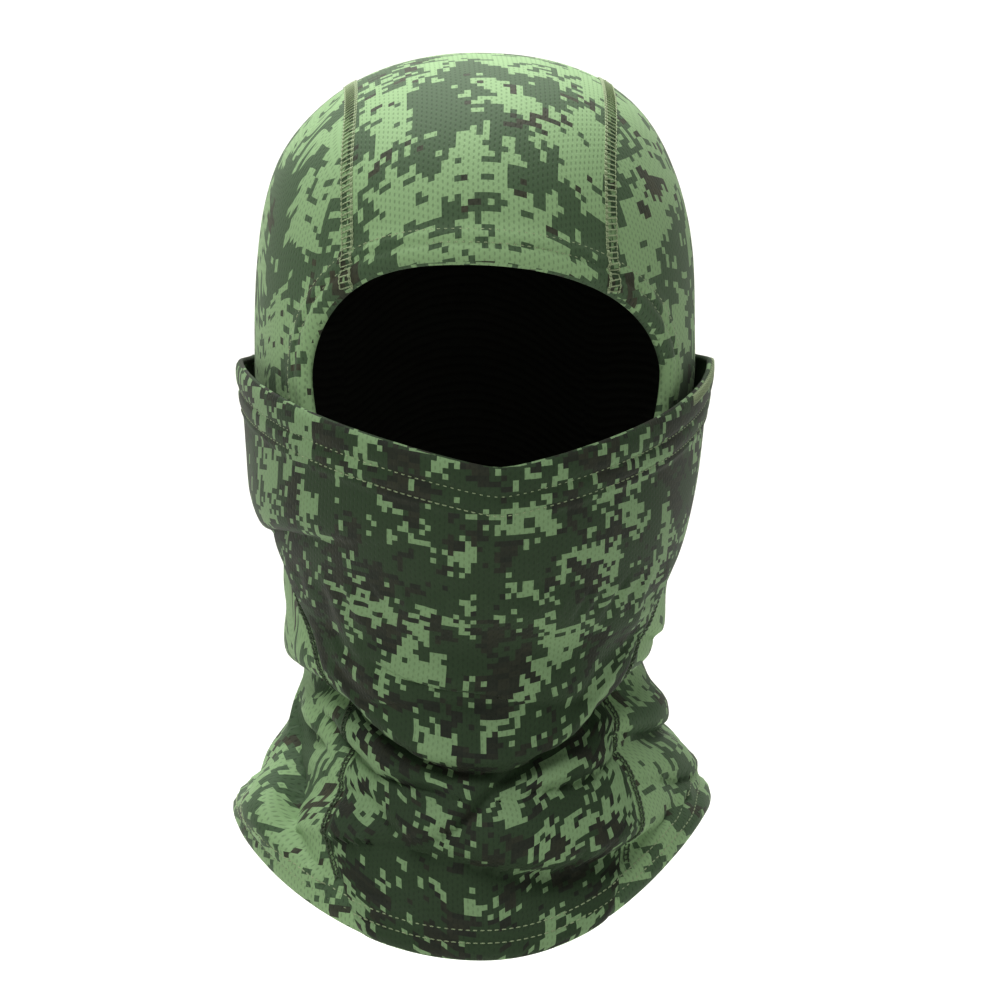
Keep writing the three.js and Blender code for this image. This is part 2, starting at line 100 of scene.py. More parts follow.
def linear(hex_colour):
    """An sRGB hex colour as linear red, green, blue and alpha."""
    shares = [int(hex_colour[i:i + 2], 16) / 255 for i in (1, 3, 5)]
    return [s / 12.92 if s <= 0.04045 else ((s + 0.055) / 1.055) ** 2.4 for s in shares] + [1]


def add_node(tree, kind, links=None, **settings):
    """Adds a node. Its inputs take values or other nodes' outputs, and settings are the node's own options."""
    made = tree.nodes.new(kind)
    for option, value in settings.items():
        setattr(made, option, value)
    for socket, value in (links or {}).items():
        if isinstance(value, bpy.types.NodeSocket):
            tree.links.new(value, made.inputs[socket])
        else:
            made.inputs[socket].default_value = value
    return made


def new_material(name):
    """A material with only its output, and the tree to build it in."""
    material = bpy.data.materials.new(name)
    material.use_nodes = True
    tree = material.node_tree
    tree.nodes.clear()
    return material, tree


# Matt studio paper, uncoated: a faint tooth and no gloss.
sweep_paper, tree = new_material("matt_paper")
place = add_node(tree, "ShaderNodeTexCoord").outputs["Object"]
tooth = add_node(tree, "ShaderNodeTexNoise", {"Vector": place, "Scale": 300.0, "Detail": 2.0}).outputs["Fac"]
bump = add_node(tree, "ShaderNodeBump", {"Height": tooth, "Strength": 0.03, "Distance": 0.001}).outputs[0]
surface = add_node(tree, "ShaderNodeBsdfPrincipled", {
    "Base Color": linear("#F4F4F0"), "Roughness": 0.95, "Specular IOR Level": 0.1, "Normal": bump})
add_node(tree, "ShaderNodeOutputMaterial", {"Surface": surface.outputs[0]})

SWEEP_HALF_WIDTH = 5.0
SWEEP_BACK = 2.2
SWEEP_BEND = 0.8
sweep_line = [(-4.0, FLOOR_LEVEL)]
for i in range(17):
    turn = math.radians(90 * i / 16)
    sweep_line.append((SWEEP_BACK + SWEEP_BEND * math.sin(turn),
                       FLOOR_LEVEL + SWEEP_BEND * (1 - math.cos(turn))))
sweep_line.append((SWEEP_BACK + SWEEP_BEND, 4.0))
sweep_points = [(x, y, z) for y, z in sweep_line for x in (-SWEEP_HALF_WIDTH, SWEEP_HALF_WIDTH)]
sweep_faces = [(2 * i, 2 * i + 1, 2 * i + 3, 2 * i + 2) for i in range(len(sweep_line) - 1)]
sweep_mesh = bpy.data.meshes.new("paper_sweep")
sweep_mesh.from_pydata(sweep_points, [], sweep_faces)
sweep_mesh.materials.append(sweep_paper)
sweep_mesh.shade_smooth()
sweep = bpy.data.objects.new("paper_sweep", sweep_mesh)
bpy.context.scene.collection.objects.link(sweep)

# ---- Crown panel ----------------------------------------------------------------------------------------
# The strip over the top of the head, from the face opening to the back hem. Printed polyester jersey with a
# brushed dark back, cut as a long strip and joined to both side panels by flatlock seams.
MM = 0.001
CLOTH = 0.9
CROWN_HALF_WIDTH = 47
DOME_TOP = 112.4
DOME_POWER = 3.3
DOME_ROUNDNESS = 2.27
LEAN = 2.4  # the top of the head leans this far to the wearer's left
HEAD_LEVELS = np.array([-206.0, -166, -159, -152, -144, -136, -128, -118, -106, -96, -84, -75, -45, -20, 0])
HEAD_RIGHT = np.array([90.0, 88.3, 82.5, 75.0, 71.3, 67.3, 65.8, 63.8, 66.8, 66.8, 68.5, 69.5, 77.5,
                       79.2, 80.5])
HEAD_LEFT = np.array([91.5, 90, 85.5, 81.5, 76.5, 70.3, 70.8, 66.0, 64.8, 67, 70.5, 73, 78.2, 80.8, 82.5])
HEAD_FRONT = np.array([98.0, 91, 87.5, 84, 80.5, 77, 75.5, 74, 79, 84, 91, 96, 101, 100, 97])
HEAD_BACK = np.array([92.0, 88, 85, 82, 78, 74.5, 72, 69.5, 69.5, 71, 74, 77, 90, 97, 100])
SIDE_DROP = 167.1
SHOULDER_SLOPE = 3.4  # how much lower the bottom edge sits on the right shoulder, and higher on the left
BACK_DROP = 192
FRONT_DROP = 206.2
OPENING_TOP = 43
OPENING_BOTTOM = 75
OPENING_MIDDLE = math.radians(-3.5)
OPENING_RIGHT = math.radians(46.5)
OPENING_LEFT = math.radians(59)
FACE_RADIUS = 88
FACE_HEM = 12.5
FACE_STITCH_ROWS = (7, 11.6)
BOTTOM_HEM = 13
BOTTOM_STITCH_ROWS = (6, 10.4)


def smooth_along(stations, values, at):
    """Values on a smooth line through stations, which never overshoots one."""
    steps = np.diff(stations)
    slopes = np.diff(values) / steps
    both = slopes[:-1] * slopes[1:]
    tangents = np.zeros(len(values))
    total = np.where(both > 0, slopes[:-1] + slopes[1:], 1)
    tangents[1:-1] = np.where(both > 0, 2 * both / total, 0)
    at = np.asarray(at, dtype=float)
    i = np.clip(np.searchsorted(stations, at) - 1, 0, len(steps) - 1)
    t = np.clip((at - stations[i]) / steps[i], 0, 1)
    rise = t * t * (3 - 2 * t)
    start = t * (1 - t) ** 2 * steps[i] * tangents[i]
    end = t * t * (t - 1) * steps[i] * tangents[i + 1]
    return values[i] * (1 - rise) + values[i + 1] * rise + start + end


def dome_share(level):
    """How much of its full width the head keeps at a level above the ears."""
    up = np.clip(level / DOME_TOP, 0, 1)
    return (1 - up ** DOME_POWER) ** (1 / DOME_ROUNDNESS)


def head_reach(line, level):
    return smooth_along(HEAD_LEVELS, line, level) * dome_share(level)


def ease(low, high, value):
    """0 below low, 1 above high, and a smooth rise between."""
    t = np.clip((value - low) / (high - low), 0, 1)
    return t * t * (3 - 2 * t)


def lean(level):
    return LEAN * ease(70, 105, level)


def head_point(angle, level, side_lift=0, front_lift=0):
    """A point of the head's surface. Angle 0 is the middle of the face, and the wearer's left is positive."""
    side, ahead = np.sin(angle), np.cos(angle)
    half = np.where(side > 0, head_reach(HEAD_LEFT, level), head_reach(HEAD_RIGHT, level)) + side_lift
    front = head_reach(HEAD_FRONT, level) + front_lift
    back = head_reach(HEAD_BACK, level) + side_lift
    deep = np.where(ahead > 0, front, back)
    return np.stack([half * side + lean(level), -deep * ahead, level + 0 * angle], axis=-1)


def bottom_edge(angle):
    """Level of the hood's bottom edge."""
    ahead = np.cos(angle)
    side_drop = SIDE_DROP - SHOULDER_SLOPE * np.sin(angle)
    power = np.where(np.sin(angle) > 0, 2.44, 1.74)
    front = (FRONT_DROP - side_drop) * np.abs(ahead) ** power
    back = (BACK_DROP - side_drop) * np.abs(ahead) ** 1.6
    return -side_drop - np.where(ahead > 0, front, back)


def opening_line(turn, distance=0.0):
    """The face opening's edge, grown outwards along the cloth by distance: angles and levels."""
    def edge(at):
        across, up = np.cos(at), np.sin(at)
        left = across > 0
        width = np.where(left, OPENING_LEFT, OPENING_RIGHT)
        across_power = np.where(up > 0, np.where(left, 1.0, 2 / 2.6), 1.0)
        up_power = np.where(up > 0, np.where(left, 2 / 1.6, 2 / 1.7), 1.0)
        height = np.where(up > 0, OPENING_TOP, OPENING_BOTTOM)
        angle = OPENING_MIDDLE + width * np.sign(across) * np.abs(across) ** across_power
        return np.stack([angle * FACE_RADIUS, height * np.sign(up) * np.abs(up) ** up_power], axis=-1)
    along = edge(turn + 0.02) - edge(turn - 0.02)
    out = np.stack([along[..., 1], -along[..., 0]], axis=-1)
    out /= np.linalg.norm(out, axis=-1, keepdims=True)
    place = edge(turn) + out * distance
    return place[..., 0] / FACE_RADIUS, place[..., 1]


OPENING_TURNS = np.linspace(-math.pi, math.pi, 361)
opening_angles, opening_levels = opening_line(OPENING_TURNS)


def distance_along_cloth(angle, level, line_angles, line_levels):
    """Distance from points of the cloth to a line drawn on it."""
    shape = np.broadcast(angle, level).shape
    here = np.stack([np.ravel(angle * FACE_RADIUS + 0 * level), np.ravel(level + 0 * angle)], axis=-1)
    line = np.stack([line_angles * FACE_RADIUS, line_levels], axis=-1)
    nearest = np.full(len(here), 1e9)
    for a, b in zip(line[:-1], line[1:]):
        run = b - a
        t = np.clip((here - a) @ run / max(run @ run, 1e-9), 0, 1)
        nearest = np.minimum(nearest, np.linalg.norm(here - a - t[:, None] * run, axis=-1))
    return nearest.reshape(shape)


def hem_relief(distance, width, rows, puff):
    """A folded hem stands up by its second layer and puffs between the stitch rows that draw it in."""
    relief = 0.8 * (1 - ease(width - 0.8, width + 2.0, distance))
    relief = relief + puff * np.sin(math.pi * np.clip(distance / rows[0], 0, 1)) ** 0.8
    between_rows = np.clip((distance - rows[0]) / (rows[1] - rows[0]), 0, 1)
    relief = relief + 0.45 * puff * np.sin(math.pi * between_rows)
    for row in rows:
        relief = relief - 0.5 * np.exp(-((distance - row) / 0.8) ** 2)
    return relief - 0.7 * np.exp(-distance / 0.9)


def cloudy(points, size, seed):
    """Smooth random values from -1 to 1 over points, whose lumps are size millimetres."""
    flat = points.reshape(-1, points.shape[-1]) / size + seed
    return np.array([noise.noise((p[0], p[1], p[2])) for p in flat]).reshape(points.shape[:-1])


# The folds of the neck. Each crease hangs between two places on the cloth, given as degrees round and level. Its
# values are the width of its roll, its two ends, how far its middle sags below them, how pointed the sag is, and
# its depth. The cloth rolls over on the crease's left, which is above one that runs to the wearer's left.
FOLDS = [
    (9, (-100, -112), (100, -110), 30, 5, 10),
    (5, (-35, -100), (5, -112), 2, 1.5, 2),
    (4, (60, -97), (95, -102), 1, 1.5, 3),
    (5, (45, -132), (95, -138), 0, 1.5, 4),
    (5, (50, -150), (95, -157), 0, 1.5, 4),
    (5, (-100, -155), (-75, -158), 0, 1.5, 4),
    (6, (-35, -150), (10, -140), 20, 1.5, 5),
    (5, (-60, -125), (-10, -150), 3, 1.5, 6),
    (5, (10, -150), (45, -138), 2, 1.5, 5),
    (5, (-80, -126), (-55, -138), 1, 1.5, 5),
    (11, (-25, -167), (60, -160), 12, 1.5, 9),
    (8, (-45, -175), (-75, -140), -2, 1.5, 10),
    (5, (-170, -128), (-100, -113), -2, 1.5, 4),
    (5, (100, -110), (175, -122), 5, 1.5, 4),
    (6, (110, -146), (170, -146), 4, 1.5, 4),
    (6, (-170, -150), (-110, -149), -4, 1.5, 4),
]
HOLLOWS = [
    ((-55, -90), (60, -90), 7, 1.5, 3.5),
    ((-30, -176), (30, -176), 8, 1.5, 3),
]
NECK_RADIUS = 76


def hanging_line(start, end, sag, point, depth):
    """A closely stepped line that hangs between two places, as millimetres round, level and depth."""
    t = np.linspace(0, 1, 31)
    round_mm = np.radians(start[0] + (end[0] - start[0]) * t) * NECK_RADIUS
    level = start[1] + (end[1] - start[1]) * t - sag * np.sin(math.pi * t) ** point
    return np.stack([round_mm, level, depth * (0.3 + 0.7 * np.sin(math.pi * t))], axis=-1)


def signed_distance(angle, level, line):
    """Signed distance to a drawn line, positive on its left, and the line's depth at the nearest place."""
    here = np.stack([angle * NECK_RADIUS, level], axis=-1)
    best = np.full(angle.shape, 1e9)
    signed = np.full(angle.shape, 1e9)
    depth = np.zeros(angle.shape)
    for a, b in zip(line[:-1], line[1:]):
        run = b[:2] - a[:2]
        t = np.clip(((here - a[:2]) @ run) / (run @ run), 0, 1)
        away = here - a[:2] - t[..., None] * run
        far = np.linalg.norm(away, axis=-1)
        side = run[0] * away[..., 1] - run[1] * away[..., 0]
        closer = far < best
        best = np.where(closer, far, best)
        signed = np.where(closer, np.where(side >= 0, far, -far), signed)
        depth = np.where(closer, a[2] + (b[2] - a[2]) * t, depth)
    return signed, depth


def neck_folds(angle, level):
    """How far the cloth of the neck stands out or in, in millimetres."""
    relief = np.zeros(angle.shape)
    for roll, *fold in FOLDS:
        signed, depth = signed_distance(angle, level, hanging_line(*fold))
        up = np.maximum(signed, 0) / roll
        sharp = np.where(signed > 0, roll * 0.18, roll * 0.9)
        relief += depth * (0.75 * up * np.exp(1 - up) - 0.75 * np.exp(-np.abs(signed) / sharp))
    for hollow in HOLLOWS:
        signed, depth = signed_distance(angle, level, hanging_line(*hollow))
        relief -= depth * np.exp(-(signed / 11) ** 2)
    return 9.5 * np.tanh(relief / 9.5)


def hood_relief(angle, level):
    """Hems, folds and small wrinkles of the hood's own cloth, in millimetres outwards."""
    angle, level = angle + 0 * level, level + 0 * angle
    edge = distance_along_cloth(angle, level, opening_angles, opening_levels)
    relief = hem_relief(edge, FACE_HEM, FACE_STITCH_ROWS, 1.0)
    relief = relief + hem_relief(level - bottom_edge(angle), BOTTOM_HEM, BOTTOM_STITCH_ROWS, 0.5)
    on_neck = ease(-62, -80, level) * ease(2, 16, level - bottom_edge(angle))
    places = head_point(angle, level)
    relief = relief + on_neck * (neck_folds(angle, level) + 0.7 * cloudy(places * (1, 1, 1.6), 17, 3.7))
    return relief + 0.35 * cloudy(places, 30, 9.1) * ease(6, 20, edge)


def outward(around, upward):
    out = np.cross(around, upward)
    return out / np.maximum(np.linalg.norm(out, axis=-1, keepdims=True), 1e-9)


def grid_out(points):
    """The outward direction at each point of a grid: rows go up, and columns towards the wearer's left."""
    return outward(np.gradient(points, axis=1), np.gradient(points, axis=0))


def even_out(values, axis, times=14):
    """Averages values with their neighbours along one axis."""
    for _ in range(times):
        padded = np.concatenate([values.take([0], axis), values, values.take([-1], axis)], axis)
        count = values.shape[axis]
        before, after = padded.take(range(count), axis), padded.take(range(2, count + 2), axis)
        values = (before + 2 * values + after) / 4
    return values


def lay_flat(points, column, row):
    """Where each point of a cloth grid was on the flat cloth, in millimetres from a column and a row."""
    across = np.linalg.norm(np.diff(points, axis=1), axis=-1)
    along = np.linalg.norm(np.diff(points, axis=0), axis=-1)
    u = np.concatenate([np.zeros((len(points), 1)), np.cumsum(across, axis=1)], axis=1)
    v = np.concatenate([np.zeros((1, points.shape[1])), np.cumsum(along, axis=0)], axis=0)
    u = even_out(u - u[:, [column]], 0)
    v = even_out(v - v[[row], :], 1, 40)
    return np.stack([u, v], axis=-1)


def make_cloth(name, outer, flat, face, back, thickness=CLOTH):
    """A layer of cloth as a closed mesh: the printed face, the brushed back and the cut edges between."""
    rows, columns = outer.shape[:2]
    inner = outer - grid_out(outer) * thickness
    points = np.concatenate([outer.reshape(-1, 3), inner.reshape(-1, 3)]) * MM
    grid = np.arange(rows * columns).reshape(rows, columns)
    quads = np.stack([grid[:-1, :-1], grid[:-1, 1:], grid[1:, 1:], grid[1:, :-1]], axis=-1).reshape(-1, 4)
    under = quads[:, ::-1] + rows * columns
    rim = np.concatenate([grid[0, :], grid[1:, -1], grid[-1, -2::-1], grid[-2:0:-1, 0]])
    after = np.roll(rim, -1)
    edge = np.stack([rim, rim + rows * columns, after + rows * columns, after], axis=-1)
    faces = np.concatenate([quads, under, edge])
    mesh = bpy.data.meshes.new(name)
    mesh.from_pydata(points.tolist(), [], faces.tolist())
    printed = mesh.uv_layers.new(name="cut_cloth")
    flat_two = np.concatenate([flat.reshape(-1, 2), flat.reshape(-1, 2)]) / 100
    printed.data.foreach_set("uv", flat_two[faces.ravel()].ravel())
    mesh.materials.append(face)
    mesh.materials.append(back)
    kinds = np.zeros(len(faces), dtype=np.int32)
    kinds[len(quads):len(quads) + len(under)] = 1
    mesh.polygons.foreach_set("material_index", kinds)
    mesh.shade_smooth()
    mesh.set_sharp_from_angle(angle=math.radians(60))
    piece = bpy.data.objects.new(name, mesh)
    bpy.context.scene.collection.objects.link(piece)
    return piece


# Printed interlock jersey: dyed polyester knitted in fine ribs with rows of eyelets. The print is built of small
# squares. Real wales are about 0.9 mm apart; they are drawn 1.8 mm apart so that they show.
PRINT_SQUARE = 2.35
FRONT_PRINT_SQUARE = 2.1  # the front cloth is stretched less, so its print stays smaller
WALE = 1.8
EYELET_STEP = 2.6


def printed_jersey(name, light, pale, dark, brown, black, light_from, bark_from, eyelet_shade, square_mm):
    material, tree = new_material(name)
    flat = add_node(tree, "ShaderNodeUVMap", uv_map="cut_cloth").outputs["UV"]
    cells = add_node(tree, "ShaderNodeVectorMath", {0: flat, 1: (100 / square_mm,) * 3},
                     operation="MULTIPLY").outputs[0]
    square = add_node(tree, "ShaderNodeVectorMath", {0: cells}, operation="FLOOR").outputs[0]
    tall = add_node(tree, "ShaderNodeVectorMath", {0: cells, 1: (1, 2, 1)}, operation="SNAP").outputs[0]
    wide = add_node(tree, "ShaderNodeVectorMath", {0: cells, 1: (2, 1, 1)}, operation="SNAP").outputs[0]
    patches = add_node(tree, "ShaderNodeTexNoise", {
        "Vector": square, "Scale": 0.078, "Detail": 4.0, "Roughness": 0.6}).outputs["Fac"]
    shadow_place = add_node(tree, "ShaderNodeVectorMath", {0: square, 1: (37, 11, 5)},
                            operation="ADD").outputs[0]
    shadows = add_node(tree, "ShaderNodeTexNoise", {
        "Vector": shadow_place, "Scale": 0.13, "Detail": 4.0, "Roughness": 0.68}).outputs["Fac"]
    tall_specks = add_node(tree, "ShaderNodeTexWhiteNoise", {"Vector": tall}).outputs["Value"]
    wide_specks = add_node(tree, "ShaderNodeTexWhiteNoise", {"Vector": wide}).outputs["Value"]
    # Loose squares near the edges of a patch: the threshold wavers from square to square.
    waver = add_node(tree, "ShaderNodeMath", {0: tall_specks, 1: wide_specks}, operation="ADD").outputs[0]
    waver = add_node(tree, "ShaderNodeMath", {0: waver, 1: 0.085, 2: light_from - 0.085},
                     operation="MULTIPLY_ADD").outputs[0]
    is_light = add_node(tree, "ShaderNodeMath", {0: patches, 1: waver}, operation="GREATER_THAN").outputs[0]
    dark_stray = add_node(tree, "ShaderNodeMath", {0: wide_specks, 1: 0.045},
                          operation="GREATER_THAN").outputs[0]
    is_light = add_node(tree, "ShaderNodeMath", {0: is_light, 1: dark_stray}, operation="MULTIPLY").outputs[0]
    bark_edge = add_node(tree, "ShaderNodeMath", {0: wide_specks, 1: 0.10, 2: bark_from - 0.05},
                         operation="MULTIPLY_ADD").outputs[0]
    is_bark = add_node(tree, "ShaderNodeMath", {0: shadows, 1: bark_edge}, operation="GREATER_THAN").outputs[0]
    single_specks = add_node(tree, "ShaderNodeTexWhiteNoise", {"Vector": square}).outputs["Value"]
    stray = add_node(tree, "ShaderNodeMath", {0: single_specks, 1: tall_specks},
                     operation="MAXIMUM").outputs[0]
    stray = add_node(tree, "ShaderNodeMath", {0: stray, 1: 0.972}, operation="GREATER_THAN").outputs[0]
    pale_leaf = add_node(tree, "ShaderNodeMix", {"Factor": patches, "A": linear(light), "B": linear(pale)},
                    data_type="RGBA")
    leaf = add_node(tree, "ShaderNodeMix", {"Factor": is_light, "A": linear(dark), "B": pale_leaf.outputs[2]},
                    data_type="RGBA")
    bark = add_node(tree, "ShaderNodeMix", {"Factor": wide_specks, "A": linear(black),
                                            "B": linear(brown)}, data_type="RGBA")
    printed = add_node(tree, "ShaderNodeMix", {"Factor": is_bark, "A": leaf.outputs[2], "B": bark.outputs[2]},
                       data_type="RGBA")
    printed = add_node(tree, "ShaderNodeMix", {
        "Factor": stray, "A": printed.outputs[2], "B": pale_leaf.outputs[2]}, data_type="RGBA")
    # The knit: staggered eyelets between the wales, and the small round back of each wale.
    ribs = add_node(tree, "ShaderNodeSeparateXYZ", {0: add_node(
        tree, "ShaderNodeVectorMath", {0: flat, 1: (100 / WALE, 100 / EYELET_STEP, 1)},
        operation="MULTIPLY").outputs[0]})
    wale = add_node(tree, "ShaderNodeMath", {0: ribs.outputs[0]}, operation="FLOOR").outputs[0]
    across = add_node(tree, "ShaderNodeMath", {0: ribs.outputs[0], 1: wale}, operation="SUBTRACT").outputs[0]
    staggered = add_node(tree, "ShaderNodeMath", {0: wale, 1: 0.5, 2: ribs.outputs[1]},
                         operation="MULTIPLY_ADD").outputs[0]
    along = add_node(tree, "ShaderNodeMath", {0: staggered}, operation="FRACT").outputs[0]
    from_wale = add_node(tree, "ShaderNodeCombineXYZ", {"X": across, "Y": along}).outputs[0]
    from_eyelet = add_node(tree, "ShaderNodeVectorMath", {0: from_wale, 1: (0.5, 0.5, 0)},
                           operation="SUBTRACT").outputs[0]
    from_eyelet = add_node(tree, "ShaderNodeVectorMath", {0: from_eyelet, 1: (1 / 0.2, 1 / 0.3, 1)},
                           operation="MULTIPLY").outputs[0]
    reach = add_node(tree, "ShaderNodeVectorMath", {0: from_eyelet}, operation="LENGTH").outputs["Value"]
    cloth_share = add_node(tree, "ShaderNodeMapRange", {"Value": reach, "From Min": 0.5, "From Max": 1.3},
                           interpolation_type="SMOOTHSTEP").outputs[0]
    fibres = add_node(tree, "ShaderNodeTexNoise", {
        "Vector": flat, "Scale": 140.0, "Detail": 3.0}).outputs["Fac"]
    shade = add_node(tree, "ShaderNodeMapRange", {
        "Value": cloth_share, "To Min": eyelet_shade, "To Max": 1.0}).outputs[0]
    mottle = add_node(tree, "ShaderNodeMapRange", {
        "Value": fibres, "To Min": 0.86, "To Max": 1.14}).outputs[0]
    shade = add_node(tree, "ShaderNodeMath", {0: shade, 1: mottle}, operation="MULTIPLY").outputs[0]
    colour = add_node(tree, "ShaderNodeVectorMath", {0: printed.outputs[2], "Scale": shade},
                      operation="SCALE").outputs[0]
    height = add_node(tree, "ShaderNodeMath", {0: fibres, 1: 0.3, 2: cloth_share},
                      operation="MULTIPLY_ADD").outputs[0]
    bump = add_node(tree, "ShaderNodeBump", {"Height": height, "Strength": 0.35, "Distance": 0.0004}).outputs[0]
    surface = add_node(tree, "ShaderNodeBsdfPrincipled", {
        "Base Color": colour, "Roughness": 0.75, "Specular IOR Level": 0.3, "Sheen Weight": 0.08,
        "Sheen Roughness": 0.5, "Sheen Tint": linear("#DCE8D0"), "Normal": bump})
    add_node(tree, "ShaderNodeOutputMaterial", {"Surface": surface.outputs[0]})
    return material


hood_knit = printed_jersey("printed_jersey_hood", "#7F9F6F", "#8BAC7B", "#3F563A", "#3C3B2B", "#2E3325",
                           0.482, 0.615, 0.7, PRINT_SQUARE)

# The same jersey's brushed back, near-black: short nap that shows no print, with faint courses. Seen through the
# face opening, this near-black is also painted shade for the dark inside of the hood.
brushed_back, tree = new_material("brushed_jersey_back")
flat_place = add_node(tree, "ShaderNodeUVMap", uv_map="cut_cloth").outputs["UV"]
nap = add_node(tree, "ShaderNodeTexNoise", {"Vector": flat_place, "Scale": 90.0, "Detail": 4.0}).outputs["Fac"]
courses = add_node(tree, "ShaderNodeTexWave", {"Vector": flat_place, "Scale": 9.0, "Distortion": 1.5},
                   bands_direction="Y").outputs["Fac"]
nap_height = add_node(tree, "ShaderNodeMath", {0: nap, 1: courses}, operation="ADD").outputs[0]
nap_colour = add_node(tree, "ShaderNodeMix", {"Factor": nap_height, "A": linear("#0B0C09"),
                                              "B": linear("#1A1B16")}, data_type="RGBA").outputs[2]
bump = add_node(tree, "ShaderNodeBump", {"Height": nap_height, "Strength": 0.3, "Distance": 0.0005}).outputs[0]
surface = add_node(tree, "ShaderNodeBsdfPrincipled", {
    "Base Color": nap_colour, "Roughness": 0.95, "Specular IOR Level": 0.15, "Normal": bump})
add_node(tree, "ShaderNodeOutputMaterial", {"Surface": surface.outputs[0]})

CROWN_COLUMNS = 60
FRONT_ROWS = 80
BACK_ROWS = 190


def crown_peak(across):
    """The highest level of the head in the upright plane at a distance across."""
    full = np.where(across > 0, HEAD_LEFT[-1], HEAD_RIGHT[-1])
    return DOME_TOP * (1 - (np.abs(across) / full) ** DOME_ROUNDNESS) ** (1 / DOME_POWER)


def angle_at(across, level, rear=False):
    """The angle where the upright plane at a distance across meets the head at a level."""
    half = np.where(across > 0, head_reach(HEAD_LEFT, level), head_reach(HEAD_RIGHT, level))
    angle = np.arcsin(np.clip(across / half, -1, 1))
    return np.where(np.sign(across) >= 0, 1, -1) * math.pi - angle if rear else angle


brow_turns = np.linspace(0.02, math.pi - 0.02, 400)[::-1]
brow_angles, brow_levels = opening_line(brow_turns)
crown_across = np.linspace(-CROWN_HALF_WIDTH, CROWN_HALF_WIDTH, CROWN_COLUMNS + 1)
front_level = np.full(CROWN_COLUMNS + 1, float(OPENING_TOP))
rear_level = np.full(CROWN_COLUMNS + 1, -float(BACK_DROP))
for _ in range(6):
    front_level = np.interp(angle_at(crown_across, front_level), brow_angles, brow_levels)
    rear_level = bottom_edge(angle_at(crown_across, rear_level, rear=True))

front_turns = np.linspace(-1, 0, FRONT_ROWS, endpoint=False)
back_turns = np.linspace(0, 1, BACK_ROWS)
over_head = np.concatenate([front_turns, back_turns])[:, None]
peak = crown_peak(crown_across)[None, :]
end_level = np.where(over_head < 0, front_level[None, :], rear_level[None, :])
crown_level = end_level + (peak - end_level) * np.cos(over_head * math.pi / 2)
full_half = np.where(crown_across > 0, head_reach(HEAD_LEFT, crown_level),
                     head_reach(HEAD_RIGHT, crown_level))
inside = np.sqrt(np.clip(1 - (crown_across / np.maximum(full_half, 1e-6)) ** 2, 0, 1))
crown_deep = np.where(over_head < 0, -head_reach(HEAD_FRONT, crown_level), head_reach(HEAD_BACK, crown_level))
crown_points = np.stack([crown_across[None, :] + lean(crown_level), crown_deep * inside, crown_level],
                        axis=-1)
crown_angle = np.arctan2(crown_across[None, :] / np.maximum(full_half, 1e-6),
                         np.where(over_head < 0, 1, -1) * inside)
crown_points = crown_points + grid_out(crown_points) * hood_relief(crown_angle, crown_level)[..., None]
crown_flat = lay_flat(crown_points, CROWN_COLUMNS // 2, FRONT_ROWS)
crown = make_cloth("crown_panel_cloth", crown_points, crown_flat, hood_knit, brushed_back)
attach(crown, "hood")
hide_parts("crown_panel")

# ---- Side panels ----------------------------------------------------------------------------------------
# One for each side of the head, from the crown seam round the face opening and down to the shoulder. Same
# printed jersey, shaped at the neck by the way it gathers.
SIDE_COLUMNS = 110
SIDE_ROWS = 170
SEAM_LEVELS = np.array([-210.0, -190, -170, -154, -124, -105, -85, -62, 0])
SEAM_ANGLES = np.radians(np.array([26.0, 31, 37, 40, 44.5, 52, 66, 84, 97]))


def front_cloth_edge(level):
    """Angle of the front cloth's side edge at a level."""
    return smooth_along(SEAM_LEVELS, SEAM_ANGLES, level)


def opening_side(level, sign):
    """Angle of the opening's edge at a level, on the wearer's left (1) or right (-1)."""
    turns = np.linspace(-math.pi / 2 + 0.01, math.pi / 2 - 0.01, 400)
    angles, levels = opening_line(turns if sign > 0 else math.pi - turns)
    return np.where(level < OPENING_TOP, np.interp(level, levels, sign * angles), 0)


def side_front(level, sign):
    """Angle of a side panel's front edge: crown seam, face opening, then the seam under the front cloth."""
    seam = angle_at(sign * CROWN_HALF_WIDTH, level) * sign
    under = front_cloth_edge(level) - math.radians(9)
    low = ease(-58, -74, level)
    return np.maximum(seam, opening_side(level, sign)) * (1 - low) + under * low


def side_flat(smooth, points, angle, level, sign):
    """Where each point of a side panel was on the flat cloth: girth from the ear, and length up the side."""
    half = head_reach(HEAD_LEFT if sign > 0 else HEAD_RIGHT, level)
    ahead = np.cos(angle) > 0
    deep = np.where(ahead, head_reach(HEAD_FRONT, level), head_reach(HEAD_BACK, level))
    girth = (half + deep) / 2
    u = (angle - sign * math.pi / 2) * girth + sign * 500
    levels = np.linspace(-206, DOME_TOP - 0.5, 400)
    halves = head_reach(HEAD_RIGHT, levels)
    climb = np.concatenate([[0], np.cumsum(np.hypot(np.diff(levels), 0.6 * np.diff(halves)))])
    folded_length = np.linalg.norm(np.diff(points, axis=0), axis=-1)
    gathered = folded_length - np.linalg.norm(np.diff(smooth, axis=0), axis=-1)
    gathered = np.concatenate([np.zeros((1, points.shape[1])), np.cumsum(gathered, axis=0)], axis=0)
    v = np.interp(level, levels, climb) + even_out(gathered, 1)
    return np.stack([u, v], axis=-1)


